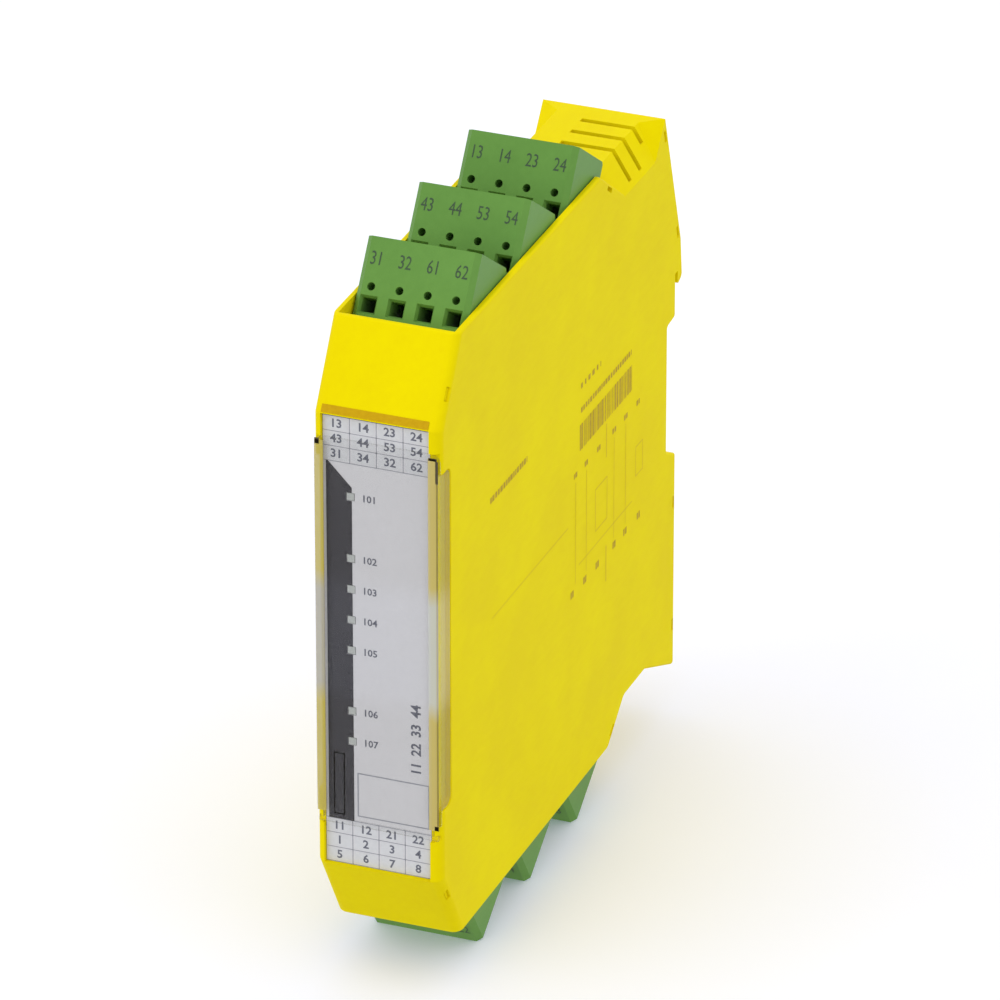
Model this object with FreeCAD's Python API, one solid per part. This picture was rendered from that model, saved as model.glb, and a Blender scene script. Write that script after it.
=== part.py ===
import FreeCAD, Part
import math
import os

# Pluggable safety relay for a 35 mm top-hat rail, 22.5 mm wide.
#
# The model is drawn in housing coordinates: X across the module, Y back from the label, Z up from
# the underside. export() moves each piece to the row frame, whose origin is the middle of the rail,
# on the plane where the rail's flanges touch the housing.

V = FreeCAD.Vector

# ---------------------------------------------------------------- overall size
WIDTH = 22.5                # the module's share of the rail
HEIGHT = 112.2              # underside to the top of the side walls
DEPTH = 114.5               # label side to the back of the rail hook
SIDE_WALL = 1.0             # the two large side walls
WALL = 1.4                  # the walls round the edge, and the front and hood
EDGE_ROUND = 1.8            # rounding of the front's side edges
TOP_ROUND = 0.5             # rounding of the side walls' top and bottom edges

# ---------------------------------------------------------------- front
SLOPE_DEPTH = 8.5           # how far the top and bottom bands lean back
SLOPE_HEIGHT = 14.1         # and how tall they are
LEAD_IN_EDGE = 0.8          # strip left at the band's edge, in front of the first plug
LABEL_LEFT = 1.4            # left side to the label
LABEL_RIGHT = 2.0           # right side to the label
LABEL_RECESS = 0.9          # the label lies this far behind the bands
LABEL_THICK = 0.4
LABEL_GAP = 0.1             # clearance round the label's edge
LED_ACROSS = 6.3            # left side to the row of indicator windows
LED_DOWN = 14.9             # label's top edge to the first window
LED_PITCH = 5.7
LED_ROWS = (0, 2, 3, 4, 5, 7, 8)
LED_WINDOW = 1.5            # square window in the label and the front wall

# ---------------------------------------------------------------- clear cover
COVER_ABOVE = 7.5           # label's bottom edge to the recess that the cover lies in
COVER_BELOW = 4.1           # label's top edge down to that recess
COVER_THICK = 0.8
COVER_PROUD = 0.1           # the cover's face stands in front of the bands
COVER_GAP = 0.2             # gap between the cover and the recess
COVER_CORNER = 1.8
FLANGE_INSET_LOW = 5.8      # the side flanges stop short of the recess, bottom and top
FLANGE_INSET_HIGH = 3.9
FLANGE_DEPTH = 4.5
FLANGE_ROUND = 1.5
CHEEK_TALL = 3.0            # the hinge cheeks
CHEEK_WIDE = 1.2
HINGE_PIN_R = 0.5
HINGE_FIT = 0.08            # radial clearance of the hinge pins

# ---------------------------------------------------------------- plugs and headers
POLES = 4
POLE_PITCH = 5.0
PLUG_ROWS = 3               # plugs at the top, and as many at the bottom
PLUG_PITCH = 22.5           # from one plug to the next, front to back
PLUG_TILT = 34.0            # lean of the plug's face from upright
PLUG_FRONT = 21.5           # depth of the first plug's top edge
PLUG_PROUD = 8.7            # the top edge stands this far above the side walls
PLUG_THICK = 14.4
PLUG_FACE = 15.1            # length of the numbered face
PLUG_CHAMFER = 0.9
PLUG_BACK_CHAMFER = 0.5
TONGUE_LONG = 8.4           # the part that goes into the header
TONGUE_FRONT = 2.2
TONGUE_BACK = 2.0
TONGUE_SIDE = 0.8           # the tongue is narrower by this on each side
TONGUE_GAP = 0.3            # clearance of the tongue in the header
PLUG_SHOULDER_GAP = 0.3     # between the plug's shoulder and the header's rim
TEST_HOLE_DOWN = 8.35       # top edge of the face to the test hole
TEST_HOLE_R = 0.7
TEST_HOLE_DEEP = 3.0
WIRE_HOLE_DOWN = 11.4       # top edge of the face to the wire opening
WIRE_HOLE = 2.4
WIRE_FUNNEL = 0.35          # bevel round the wire opening
RELEASE_DOWN = 14.0         # top edge of the face to the release slot
CHAMBER_WIDE = 3.8          # clamp chamber of each pole
CHAMBER_FRONT = 4.4
CHAMBER_BACK = 1.4
CHAMBER_TOP = 5.0
CHAMBER_LONG = 15.4
SPRING_WIDE = 3.0
SPRING_THICK = 0.5
HEADER_FRONT = 1.0          # header wall in front of the tongue
HEADER_FLOOR = 1.6
HEADER_GUIDE = 1.6          # guide wall behind the plug
HEADER_GUIDE_TOP = 4.5
HEADER_SIDE = 0.25          # clearance to the side walls
PIN_SIZE = 1.0
PIN_ROW_STEP = 2.2          # the pins reach the board in a row with this pitch
PARTITION = 1.6             # housing wall between two plug chambers
PARTITION_GAP = 0.35

# ---------------------------------------------------------------- hood with vents
HOOD_BELOW = 2.5            # the hood's top lies this far below the side walls' top
HOOD_FACET_DROP = 6.2       # hood's top down to where its side facets meet the side walls
HOOD_FACET_X = 3.8          # how far in they reach on the top
HOOD_RIM = 4.8              # the facets run out into the back rim over this depth
HOOD_LEAN = 9.1             # the hood's back edge stands this far in front of the hook
WALL_TOP_SPARE = 7.5        # last plug's top edge to the back end of the side walls' top
WALL_DIP = 12.3             # from there, how far the side walls run down to the facets
VENT_COUNT = 3
VENT_WIDE = 1.3
VENT_PITCH = 4.9
VENT_BACK = 5.6             # hood's rear edge to the first vent
VENT_LEFT = 9.1             # left side to the vents' closed end
VENT_DROP = 5.2             # how far the vents run down the facet

# ---------------------------------------------------------------- rail seat
RAIL_HEIGHT = 35.0
RAIL_FLANGE = 1.0
RAIL_FIT = 0.3              # play of the rail between hook and step
HOOK_BEHIND = 3.4           # rail seat to the back of the hook
HOOK_OVERLAP = 2.3          # the hook reaches this far over the flange
RAIL_LOW = 42.4             # height of the rail's lower edge
RELIEF_DEPTH = 3.9          # middle of the seat, cut deeper for a bus connector
RELIEF_STEP = 2.4           # height of the sloping step under the rail's lower edge
RELIEF_LIP = 8.2            # height of the lip that the upper flange rests on
FOOT_LOW = 0.4
FOOT_RISE = 6.5             # the underside steps up by this in front of the foot
RISE_SPARE = 5.2            # back end of the side walls' top to the step in the underside
RISE_RUN = 7.8
RISE_FLAT = 10.6
HOOK_TALL = 6.1             # rail's upper edge to the top of the hook's back
HOOK_CHAMFER = 0.8

# ---------------------------------------------------------------- rail latch
LATCH_WIDE = 8.0
LATCH_THICK = 2.6
LATCH_FIT = 0.3
LATCH_LOW = 3.2
LATCH_OVERLAP = 2.0         # the latch reaches this far over the flange
LATCH_TRAVEL = 3.0
LATCH_HOOK = 2.1
LATCH_SHOULDER = 2.4        # shoulder that the spring pushes on
LATCH_BLOCK = 1.4           # walls round the latch's channel
LATCH_RIB = 0.9             # ribs on the latch's sides, which run in grooves and hold it in
LATCH_RIB_THICK = 1.0
SPRING_LOW = 12.0           # the latch spring's seat and length
SPRING_LONG = 15.0
SPRING_R = 1.7
SPRING_WIRE_R = 0.25
SPRING_TURNS = 6
SPRING_POCKET = 2.2

# ---------------------------------------------------------------- boards and what they carry
BOARD_THICK = 1.6
BOARD_WALL_GAP = 0.65       # main board to the left wall
BOARD_EDGE_GAP = 0.5
LOGIC_FROM_WALL = 2.4       # logic board to the right wall
LOGIC_FRONT = 7.0
LOGIC_LONG = 24.0
LOGIC_TALL = 54.0
CHIP_SIZE = 9.0
CHIP_THICK = 1.4
CHIP_APART = 36.0           # from one controller to the other
STRIP_POLES = 9             # pin strip between the boards
STRIP_PITCH = 2.54
STRIP_PIN = 0.6
STRIP_THICK = 2.5
RELAY_LONG = 28.0
RELAY_HIGH = 13.0
RELAY_STAND = 15.4
RELAY_FRONT = 38.0
RELAY_GAP_Y = 3.0
RELAY_GAP_Z = 16.0
CAPACITOR_R = 4.0
CAPACITOR_LONG = 11.5
CAPACITOR_FRONT = 14.0
CAPACITOR_APART = 12.0
INDUCTOR_SIZE = 9.0
INDUCTOR_STAND = 6.0
LED_SIZE = 1.6
LED_DEEP = 2.0
GUIDE_LONG = 4.0            # light guide behind the front wall

# ---------------------------------------------------------------- snaps that hold the side cover
SNAP_LONG = 2.4
SNAP_WIDE = 0.8
SNAP_INSET = 0.9            # edge of the side wall to the middle of a snap
SNAP_FIT = 0.1

SIDE = WIDTH / 2
INNER = SIDE - SIDE_WALL
MIDDLE = HEIGHT / 2
SEAT_Y = DEPTH - HOOK_BEHIND
RAIL_HIGH = RAIL_LOW + RAIL_HEIGHT
RAIL_MIDDLE = RAIL_LOW + RAIL_HEIGHT / 2
REAR_Y = SEAT_Y + RAIL_FLANGE
RELIEF_LOW = RAIL_LOW + RELIEF_STEP
RELIEF_HIGH = RAIL_HIGH - RELIEF_LIP
HOOK_BACK_HIGH = RAIL_HIGH + HOOK_TALL
HOOD_HIGH = HEIGHT - HOOD_BELOW
HOOD_FACET_Z = HOOD_HIGH - HOOD_FACET_DROP
HOOD_BACK = DEPTH - HOOD_LEAN
HOOD_FACET_BACK = HOOD_BACK - HOOD_RIM
WALL_TOP_BACK = PLUG_FRONT + (PLUG_ROWS - 1) * PLUG_PITCH + WALL_TOP_SPARE
HOOD_FACET_FRONT = WALL_TOP_BACK + WALL_DIP
RISE_FRONT = WALL_TOP_BACK + RISE_SPARE
RISE_BACK = RISE_FRONT + RISE_RUN
FOOT_FRONT = RISE_BACK + RISE_FLAT
LEAD_IN_FRONT = SLOPE_DEPTH + LEAD_IN_EDGE
LABEL_LOW = SLOPE_HEIGHT
LABEL_HIGH = HEIGHT - SLOPE_HEIGHT
COVER_LOW = LABEL_LOW + COVER_ABOVE
COVER_HIGH = LABEL_HIGH - COVER_BELOW
FLANGE_LOW = COVER_LOW + FLANGE_INSET_LOW
FLANGE_HIGH = COVER_HIGH - FLANGE_INSET_HIGH
CHEEK_HIGH = COVER_LOW + CHEEK_TALL
FRONT_WALL_Y = LABEL_RECESS + LABEL_THICK
FRONT_INSIDE = FRONT_WALL_Y + WALL
LED_X = LED_ACROSS - SIDE
PLUG_HALF = POLES * POLE_PITCH / 2
PLUG_TOP = HEIGHT + PLUG_PROUD
TONGUE_END = PLUG_FACE + TONGUE_LONG
HEADER_TOP = PLUG_FACE + PLUG_SHOULDER_GAP
HEADER_END = TONGUE_END + TONGUE_GAP + HEADER_FLOOR
HEADER_NOSE = TONGUE_FRONT - TONGUE_GAP - HEADER_FRONT
GUIDE_FRONT = PLUG_THICK + TONGUE_GAP
GUIDE_BACK = GUIDE_FRONT + HEADER_GUIDE
PARTITION_FRONT = GUIDE_BACK + PARTITION_GAP
BOARD_LEFT = -INNER + BOARD_WALL_GAP
BOARD_RIGHT = BOARD_LEFT + BOARD_THICK


# ---------------------------------------------------------------- drawing helpers
def box(x0, x1, y0, y1, z0, z1):
    return Part.makeBox(x1 - x0, y1 - y0, z1 - z0, V(x0, y0, z0))


def outline(points):
    """Closed wire at X = 0 through (y, z) or (y, z, radius) points, with arcs at rounded corners."""
    count = len(points)
    starts = []
    ends = []
    mids = []
    for index, point in enumerate(points):
        here = V(0, point[0], point[1])
        radius = point[2] if len(point) > 2 else 0.0
        before = points[index - 1]
        after = points[(index + 1) % count]
        back = (V(0, before[0], before[1]) - here).normalize()
        ahead = (V(0, after[0], after[1]) - here).normalize()
        if radius == 0.0:
            starts.append(here)
            ends.append(here)
            mids.append(None)
            continue
        half = back.getAngle(ahead) / 2
        run = radius / math.tan(half)
        inward = (back + ahead).normalize()
        centre = here + inward * (radius / math.sin(half))
        starts.append(here + back * run)
        ends.append(here + ahead * run)
        mids.append(centre - inward * radius)
    edges = []
    for index in range(count):
        if mids[index] is not None:
            edges.append(Part.Arc(starts[index], mids[index], ends[index]).toShape())
        following = starts[(index + 1) % count]
        edges.append(Part.makeLine(ends[index], following))
    return Part.Wire(edges)


def prism(points, x0, x1):
    """Solid with a side outline in (y, z), from x0 to x1."""
    face = Part.Face(outline(points))
    face.translate(V(x0, 0, 0))
    return face.extrude(V(x1 - x0, 0, 0))


def plug_point(row, s, t):
    """Side-view point of a top plug: s runs in from its face, t runs down along the face."""
    tilt = math.radians(PLUG_TILT)
    y = PLUG_FRONT + row * PLUG_PITCH + s * math.cos(tilt) - t * math.sin(tilt)
    z = PLUG_TOP - s * math.sin(tilt) - t * math.cos(tilt)
    return (y, z)


def plug_prism(row, corners, x0, x1):
    return prism([plug_point(row, s, t) for s, t in corners], x0, x1)


def plug_box(row, s0, s1, t0, t1, x0, x1):
    return plug_prism(row, [(s0, t0), (s1, t0), (s1, t1), (s0, t1)], x0, x1)


def plug_depth_at(row, s, z):
    """How far down the face a plug line at s comes to height z."""
    tilt = math.radians(PLUG_TILT)
    return (PLUG_TOP - z - s * math.sin(tilt)) / math.cos(tilt)


def upside_down(shape):
    """The same piece at the bottom of the housing."""
    return shape.mirror(V(0, 0, MIDDLE), V(0, 0, 1))


def half_space(point, normal, reach=200.0):
    """Large block on the side of a plane that its normal points to."""
    block = Part.makeBox(2 * reach, 2 * reach, reach, V(-reach, -reach, 0))
    turn = FreeCAD.Rotation(V(0, 0, 1), normal)
    block.Placement = FreeCAD.Placement(point, turn)
    return block


def joined(shapes):
    whole = shapes[0].fuse(shapes[1:]) if len(shapes) > 1 else shapes[0]
    return whole.removeSplitter()


def pole_places():
    first = -(POLES - 1) * POLE_PITCH / 2
    return [first + index * POLE_PITCH for index in range(POLES)]


def led_heights():
    return [LABEL_HIGH - LED_DOWN - row * LED_PITCH for row in LED_ROWS]


# ---------------------------------------------------------------- housing
def side_outline():
    """What the side walls look like from the side, with the rail hook and the foot."""
    slot_top = RAIL_HIGH + RAIL_FIT
    slot_back = SEAT_Y + RAIL_FLANGE + RAIL_FIT
    hook_low = RAIL_HIGH - HOOK_OVERLAP
    relief_y = SEAT_Y - RELIEF_DEPTH
    return [
        (SLOPE_DEPTH, 0),
        (RISE_FRONT, 0, 2.0),
        (RISE_BACK, FOOT_RISE, 2.0),
        (FOOT_FRONT, FOOT_RISE, 1.0),
        (REAR_Y, FOOT_LOW, 0.6),
        (REAR_Y, RAIL_LOW, 0.3),
        (relief_y, RELIEF_LOW),
        (relief_y, RELIEF_HIGH, 0.8),
        (SEAT_Y, RELIEF_HIGH + 0.4, 0.5),
        (SEAT_Y, slot_top),
        (slot_back, slot_top),
        (slot_back, hook_low, 0.3),
        (DEPTH, hook_low + 0.9, 1.0),
        (DEPTH - HOOK_CHAMFER, HOOK_BACK_HIGH),
        (HOOD_BACK, HOOD_HIGH, 0.6),
        (HOOD_FACET_BACK, HOOD_FACET_Z),
        (HOOD_FACET_FRONT, HOOD_FACET_Z),
        (WALL_TOP_BACK, HEIGHT, 1.0),
        (SLOPE_DEPTH, HEIGHT),
        (0, LABEL_HIGH, 0.6),
        (0, LABEL_LOW, 0.6),
    ]


def hood_front(offset, deeper):
    """Side-view line of the hood's front wall, at the hood's top and low down inside."""
    s = PARTITION_FRONT + offset
    last = PLUG_ROWS - 1
    high = plug_point(last, s, plug_depth_at(last, s, HOOD_HIGH))
    low = plug_point(last, s, HEADER_END + deeper)
    return high, low


def hood_outline(inset, deeper=0.0):
    """The hood between its front wall and its leaning back; its hollow runs deeper, into the housing."""
    high, low = hood_front(inset, deeper)
    top = HOOD_HIGH - inset
    lean = (HOOD_HIGH - HOOK_BACK_HIGH) / (DEPTH - HOOK_CHAMFER - HOOD_BACK)
    back = inset * math.sqrt(1 + lean * lean) / lean
    shift = (high[0] - low[0]) / (high[1] - low[1])
    front = high[0] - shift * inset
    return [
        (front, top),
        (HOOD_BACK - back + inset / lean, top),
        (DEPTH - HOOK_CHAMFER - back, HOOK_BACK_HIGH),
        (low[0] + 8.0, HOOK_BACK_HIGH - deeper),
        (low[0], low[1]),
    ]


def hood_scoops(inset):
    """What is taken off the hood's two top corners: a steep facet that runs out at the back rim."""
    top_x = SIDE - HOOD_FACET_X
    slope = V(HOOD_HIGH - HOOD_FACET_Z, 0, HOOD_FACET_X).normalize()
    facet = half_space(V(top_x, 0, HOOD_HIGH) - slope * inset, slope)
    corner = V(SIDE, HOOD_BACK, HOOD_HIGH)
    low = V(SIDE, HOOD_FACET_BACK, HOOD_FACET_Z)
    inside = V(top_x, HOOD_BACK - 3.2, HOOD_HIGH)
    rim = (low - corner).cross(inside - corner).normalize()
    if rim.z < 0:
        rim = rim * -1
    runout = half_space(corner - rim * inset, rim)
    right = facet.common(runout)
    left = right.mirror(V(0, 0, 0), V(1, 0, 0))
    return [right, left]


def vents():
    """Slots across the hood's top that bend and run down the right facet."""
    cuts = []
    bend = SIDE - HOOD_FACET_X
    slope_x = VENT_DROP * HOOD_FACET_X / (HOOD_HIGH - HOOD_FACET_Z)
    for index in range(VENT_COUNT):
        y = HOOD_BACK - VENT_BACK - index * VENT_PITCH
        deep = 2 * WALL
        drop = VENT_DROP if index else VENT_DROP * 0.5
        run = slope_x if index else slope_x * 0.5
        left = VENT_LEFT - SIDE
        across = box(left, bend, y - VENT_WIDE / 2, y + VENT_WIDE / 2, HOOD_HIGH - deep, HOOD_HIGH + 1)
        inward = V(HOOD_HIGH - HOOD_FACET_Z, 0, HOOD_FACET_X).normalize() * deep
        start = V(bend, y - VENT_WIDE / 2, HOOD_HIGH)
        end = V(bend + run, y - VENT_WIDE / 2, HOOD_HIGH - drop)
        corners = [start + inward, start - inward, end - inward, end + inward]
        down = Part.Face(Part.makePolygon(corners + [corners[0]])).extrude(V(0, VENT_WIDE, 0))
        cuts += [across, down]
    return cuts


def cover_recess():
    """Room for the clear cover in the front, and for its side flanges in the side walls."""
    wide = box(-SIDE - 1, SIDE + 1, -1, COVER_THICK, CHEEK_HIGH, COVER_HIGH)
    narrow_x = SIDE - CHEEK_WIDE
    narrow = box(-narrow_x, narrow_x, -1, COVER_THICK, COVER_LOW, CHEEK_HIGH + 1)
    cuts = [wide, narrow]
    flange = [
        (-1, FLANGE_LOW),
        (FLANGE_DEPTH + COVER_GAP, FLANGE_LOW, FLANGE_ROUND),
        (FLANGE_DEPTH + COVER_GAP, FLANGE_HIGH, FLANGE_ROUND),
        (-1, FLANGE_HIGH),
    ]
    for side in (-1, 1):
        x0, x1 = sorted((side * INNER, side * (SIDE + 1)))
        cuts.append(prism(flange, x0, x1))
    return cuts


def hinge_place():
    return COVER_THICK / 2, COVER_LOW + 2 * COVER_GAP + COVER_THICK / 2


def hinge_holes():
    y, z = hinge_place()
    radius = HINGE_PIN_R + HINGE_FIT
    reach = SIDE - CHEEK_WIDE + 0.9
    return Part.makeCylinder(radius, 2 * reach, V(-reach, y, z), V(1, 0, 0))


def latch_block():
    """Rear lower block that guides the rail latch and holds its spring."""
    half = LATCH_WIDE / 2 + LATCH_RIB + LATCH_FIT + LATCH_BLOCK
    front = latch_front() - LATCH_FIT - 2 * SPRING_POCKET - LATCH_BLOCK
    return box(-half, half, front, REAR_Y, -1, RELIEF_LOW)


def latch_front():
    return REAR_Y - LATCH_FIT - LATCH_THICK


def spring_place():
    return latch_front() - LATCH_FIT - SPRING_POCKET


def latch_channel():
    half = LATCH_WIDE / 2 + LATCH_FIT
    front = latch_front() - LATCH_FIT
    channel = box(-half, half, front, REAR_Y + 5, -5, RELIEF_LOW + 5)
    y = spring_place()
    top = SPRING_LOW + SPRING_LONG + LATCH_SHOULDER + 2 * LATCH_FIT
    pocket = box(-SPRING_POCKET, SPRING_POCKET, y - SPRING_POCKET, front + 1, SPRING_LOW, top)
    wide = LATCH_WIDE / 2 + LATCH_RIB + LATCH_FIT
    rib_front = latch_front() + (LATCH_THICK - LATCH_RIB_THICK) / 2
    groove = box(-wide, wide, rib_front - LATCH_FIT, rib_front + LATCH_RIB_THICK + LATCH_FIT,
                 -5, latch_rib_top() + LATCH_FIT)
    return [channel, pocket, groove]


def latch_rib_top():
    return RAIL_LOW - 4 * LATCH_HOOK


def chamber_zone(x):
    """Side-view region that the top plugs, their wires and the headers take up between the side walls."""
    last = PLUG_ROWS - 1
    front = -PARTITION_GAP
    back = PARTITION_FRONT
    above = plug_depth_at(0, front, HEIGHT + 30)
    corners = [
        (LEAD_IN_FRONT, HEIGHT + 30),
        plug_point(last, back, above),
        plug_point(last, back, HEADER_END),
        plug_point(0, front, HEADER_END),
        plug_point(0, front, PLUG_FACE),
        (LEAD_IN_FRONT, HEIGHT),
    ]
    return prism(corners, -x, x)


def lead_in():
    """The slope in front of the first plug, which leads the wires to its openings."""
    thick = V(0, 0, -1.5 * WALL)
    high = V(0, LEAD_IN_FRONT, HEIGHT)
    low = V(0, *plug_point(0, -PARTITION_GAP, PLUG_FACE))
    corners = [high, low, low + thick, high + thick]
    return prism([(c.y, c.z) for c in corners], -INNER, INNER)


def chamber_walls():
    """Walls between the plug chambers, leaning like the plugs."""
    low = HEADER_END
    front = plug_box(0, -PARTITION_GAP - WALL, -PARTITION_GAP, PLUG_FACE, low, -INNER, INNER)
    walls = [lead_in(), front]
    for row in range(PLUG_ROWS - 1):
        top = plug_depth_at(row, PARTITION_FRONT, HEIGHT - 2.0)
        walls.append(plug_box(row, PARTITION_FRONT, PARTITION_FRONT + PARTITION, top, low, -INNER, INNER))
    return walls


def housing():
    """The whole housing in one piece, before it is parted into shell and side cover."""
    sides = prism(side_outline(), -SIDE, SIDE)
    front_edges = []
    for edge in sides.Edges:
        place = edge.BoundBox
        if place.XLength < 0.01 and place.YMax < SLOPE_DEPTH - 0.5:
            front_edges.append(edge)
    sides = sides.makeFillet(EDGE_ROUND, front_edges)
    long_edges = []
    for edge in sides.Edges:
        place = edge.BoundBox
        level = place.ZMin > HEIGHT - 0.01 or place.ZMax < 0.01
        if level and place.XLength < 0.01 and place.YLength > DEPTH / 2:
            long_edges.append(edge)
    sides = sides.makeFillet(TOP_ROUND, long_edges)
    hood = prism(hood_outline(0), -SIDE, SIDE)
    for scoop in hood_scoops(0):
        hood = hood.cut(scoop)

    ring = Part.Face(outline(side_outline())).makeOffset2D(-WALL, 2)
    ring.translate(V(-INNER, 0, 0))
    cavity = ring.extrude(V(2 * INNER, 0, 0))
    cavity = cavity.cut(box(-SIDE, SIDE, -1, FRONT_INSIDE, 0, HEIGHT))
    zone = chamber_zone(INNER)
    top_walls = chamber_walls()
    walls = [wall.common(sides) for wall in top_walls]
    walls += [upside_down(wall).common(sides) for wall in top_walls]

    body = sides.cut(cavity).cut(zone).cut(upside_down(zone))
    dip_back = (HOOD_FACET_FRONT + HOOD_FACET_BACK) / 2 + WALL_DIP / 2
    roof = box(-INNER, INNER, WALL_TOP_BACK - WALL_DIP / 2, dip_back, HOOD_FACET_Z - WALL, HEIGHT + 1)
    body = body.cut(roof)
    hollow = prism(hood_outline(WALL, 4 * WALL), -INNER, INNER)
    for scoop in hood_scoops(WALL):
        hollow = hollow.cut(scoop)
    body = joined([body.cut(hollow), hood.cut(hollow)] + walls + [latch_block().common(sides)])
    body = joined([body] + cover_cheeks())
    cuts = latch_channel() + vents() + cover_recess() + label_recess()
    cuts += [hinge_holes()] + led_openings(LED_WINDOW)
    return body.cut(cuts)


def snap_places():
    """Middle of each snap on the side walls' edge, with the edge's direction and its inward side."""
    stretches = [
        ((0, LABEL_HIGH), (SLOPE_DEPTH, HEIGHT), 0.4),
        ((WALL_TOP_BACK, HEIGHT), (HOOD_FACET_FRONT, HOOD_FACET_Z), 0.4),
        ((HOOD_BACK, HOOD_HIGH), (DEPTH - HOOK_CHAMFER, HOOK_BACK_HIGH), 0.12),
        ((HOOD_BACK, HOOD_HIGH), (DEPTH - HOOK_CHAMFER, HOOK_BACK_HIGH), 0.92),
        ((REAR_Y, RAIL_LOW), (REAR_Y, FOOT_LOW), 0.22),
        ((REAR_Y, RAIL_LOW), (REAR_Y, FOOT_LOW), 0.8),
        ((RISE_BACK, FOOT_RISE), (RISE_FRONT, 0), 0.7),
        ((SLOPE_DEPTH, 0), (0, LABEL_LOW), 0.7),
    ]
    places = []
    for start, end, share in stretches:
        along = V(0, end[0] - start[0], end[1] - start[1])
        inward = V(0, along.z, -along.y).normalize()
        middle = V(0, start[0], start[1]) + along * share + inward * SNAP_INSET
        places.append((middle, along.normalize(), inward))
    return places


def snap_bars(x0, x1, smaller):
    """Bars across the side cover at each snap: the slots, or with a clearance the tabs in them."""
    bars = []
    for middle, along, inward in snap_places():
        long_half = along * (SNAP_LONG / 2 - smaller)
        wide_half = inward * (SNAP_WIDE / 2 - smaller)
        corners = [middle - long_half - wide_half, middle + long_half - wide_half,
                   middle + long_half + wide_half, middle - long_half + wide_half]
        bars.append(prism([(c.y, c.z) for c in corners], x0, x1))
    return bars


def cover_cheeks():
    """Walls just inside the side walls, behind the clear cover's flanges."""
    cheeks = []
    for side in (-1, 1):
        x0, x1 = sorted((side * (INNER - 1.2), side * INNER))
        cheeks.append(box(x0, x1, FRONT_WALL_Y, FLANGE_DEPTH + 1.4, FLANGE_LOW - 1.2, FLANGE_HIGH + 1.2))
    return cheeks


def label_box(gap, y0, y1):
    x0 = -SIDE + LABEL_LEFT + gap
    x1 = SIDE - LABEL_RIGHT - gap
    return box(x0, x1, y0, y1, LABEL_LOW + gap, LABEL_HIGH - gap)


def label_recess():
    return [label_box(0, -1, FRONT_WALL_Y)]


def led_openings(size):
    half = size / 2
    return [box(LED_X - half, LED_X + half, -1, FRONT_INSIDE + 1, z - half, z + half) for z in led_heights()]


def shell_and_cover():
    whole = housing()
    right = box(INNER, SIDE + 1, -5, DEPTH + 5, -5, HEIGHT + 20)
    cover = whole.common(right).cut(snap_bars(INNER - 1, SIDE + 1, 0))
    shell = whole.cut(right)
    tabs = snap_bars(INNER - WALL / 2, INNER + SIDE_WALL / 2, SNAP_FIT)
    backed = [tab for tab in tabs if tab.common(shell).Volume > tab.Volume / 10]
    return joined([shell] + backed), cover


# ---------------------------------------------------------------- front pieces
def label_plate():
    plate = label_box(LABEL_GAP, LABEL_RECESS, FRONT_WALL_Y)
    return plate.cut(led_openings(LED_WINDOW))


def clear_cover():
    y, z = hinge_place()
    half = SIDE - 0.1
    narrow = SIDE - CHEEK_WIDE - COVER_GAP
    front = -COVER_PROUD
    back = COVER_THICK - COVER_PROUD
    face = box(-half, half, front, back, CHEEK_HIGH + COVER_GAP, COVER_HIGH - COVER_GAP)
    corners = [e for e in face.Edges if e.BoundBox.ZMin > COVER_HIGH - 1 and e.BoundBox.YLength > 0.5]
    face = face.makeFillet(COVER_CORNER, corners)
    foot = box(-narrow, narrow, front, back, z, CHEEK_HIGH + 1)
    bead = Part.makeCylinder(COVER_THICK / 2, 2 * narrow, V(-narrow, y - COVER_PROUD, z), V(1, 0, 0))
    reach = narrow + 0.85
    pin = Part.makeCylinder(HINGE_PIN_R, 2 * reach, V(-reach, y, z), V(1, 0, 0))
    flange = [
        (front, FLANGE_LOW + COVER_GAP),
        (FLANGE_DEPTH, FLANGE_LOW + COVER_GAP, FLANGE_ROUND),
        (FLANGE_DEPTH, FLANGE_HIGH - COVER_GAP, FLANGE_ROUND),
        (front, FLANGE_HIGH - COVER_GAP),
    ]
    pieces = [face, foot, bead, pin]
    for side in (-1, 1):
        x0, x1 = sorted((side * (INNER + 0.1), side * half))
        pieces.append(prism(flange, x0, x1))
    cover = joined(pieces)
    edges = []
    for edge in cover.Edges:
        place = edge.BoundBox
        if place.YMax < front + 0.01 and place.XLength < 0.01 and place.ZLength > 50:
            edges.append(edge)
    return cover.makeFillet(0.6, edges)


def light_guide():
    """Seven clear rods, moulded in one piece with the bar that carries them."""
    x = LED_X
    half = LED_WINDOW / 2 - LABEL_GAP
    back = FRONT_INSIDE + GUIDE_LONG
    rods = [box(x - half, x + half, LABEL_RECESS, back, z - half, z + half) for z in led_heights()]
    low = min(led_heights()) - LED_WINDOW
    high = max(led_heights()) + LED_WINDOW
    wide = LED_WINDOW * 0.8
    bar = box(x - wide, x + wide, FRONT_INSIDE, FRONT_INSIDE + wide, low, high)
    return joined([bar] + rods)


def status_leds():
    half = LED_SIZE / 2
    front = FRONT_INSIDE + GUIDE_LONG + COVER_GAP
    bodies = []
    for z in led_heights():
        bodies.append(box(BOARD_RIGHT, LED_X + half, front, front + LED_DEEP, z - half, z + half))
    return Part.makeCompound(bodies)


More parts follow.
